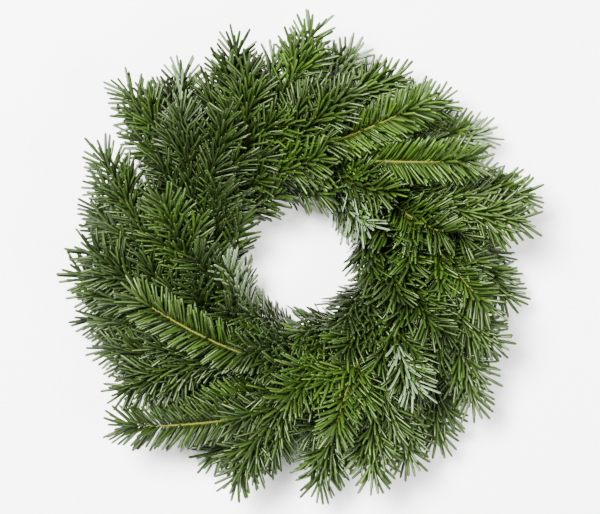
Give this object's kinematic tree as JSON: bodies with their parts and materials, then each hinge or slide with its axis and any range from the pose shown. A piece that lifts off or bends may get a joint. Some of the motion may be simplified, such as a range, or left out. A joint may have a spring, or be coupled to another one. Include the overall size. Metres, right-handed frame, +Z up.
{
  "type": "advent wreath",
  "caption": "Plain fir wreath: evergreen sprays wired to a straw ring, all sweeping clockwise, with an open middle and a flat underside.",
  "frame": {"origin": "on the wreath's axis, in the plane of its flat underside", "axes": "+Z up through the hole, out of the face that is seen; +Y towards the top of the wreath as it is seen in the picture"},
  "size_m": [0.4012, 0.4053, 0.098],
  "materials": {
    "fir_needles": "waxy dark green fir needles on olive-brown twigs, cut for a wreath",
    "straw": "pressed rye straw, bound, golden and matt",
    "green_wire": "green enamelled florist's wire"
  },
  "bodies": {
    "root": {"binding_wire": "green_wire", "spray_crown_00": "fir_needles", "spray_crown_02": "fir_needles", "spray_crown_04": "fir_needles", "spray_crown_05": "fir_needles", "spray_crown_06": "fir_needles", "spray_crown_07": "fir_needles", "spray_crown_09": "fir_needles", "spray_crown_12": "fir_needles", "spray_crown_13": "fir_needles", "spray_crown_14": "fir_needles", "spray_crown_15": "fir_needles", "spray_crown_16": "fir_needles", "spray_crown_17": "fir_needles", "spray_inner_00": "fir_needles", "spray_inner_02": "fir_needles", "spray_inner_04": "fir_needles", "spray_inner_06": "fir_needles", "spray_inner_08": "fir_needles", "spray_inner_10": "fir_needles", "spray_inner_12": "fir_needles", "spray_inner_14": "fir_needles", "spray_inner_16": "fir_needles", "spray_low_01": "fir_needles", "spray_low_03": "fir_needles", "spray_low_05": "fir_needles", "spray_low_08": "fir_needles", "spray_low_11": "fir_needles", "spray_low_12": "fir_needles", "spray_low_14": "fir_needles", "spray_low_17": "fir_needles", "spray_mid_00": "fir_needles", "spray_mid_02": "fir_needles", "spray_mid_04": "fir_needles", "spray_mid_06": "fir_needles", "spray_mid_07": "fir_needles", "spray_mid_08": "fir_needles", "spray_mid_10": "fir_needles", "spray_mid_11": "fir_needles", "spray_mid_14": "fir_needles", "spray_mid_17": "fir_needles", "spray_shoulder_00": "fir_needles", "spray_shoulder_03": "fir_needles", "spray_shoulder_05": "fir_needles", "spray_shoulder_08": "fir_needles", "spray_shoulder_11": "fir_needles", "spray_shoulder_13": "fir_needles", "spray_shoulder_16": "fir_needles", "spray_upper_02": "fir_needles", "spray_upper_03": "fir_needles", "spray_upper_04": "fir_needles", "spray_upper_06": "fir_needles", "spray_upper_08": "fir_needles", "spray_upper_10": "fir_needles", "spray_upper_11": "fir_needles", "spray_upper_12": "fir_needles", "spray_upper_14": "fir_needles", "spray_upper_15": "fir_needles", "spray_upper_16": "fir_needles", "straw_ring": "straw"}
  },
  "joints": []
}
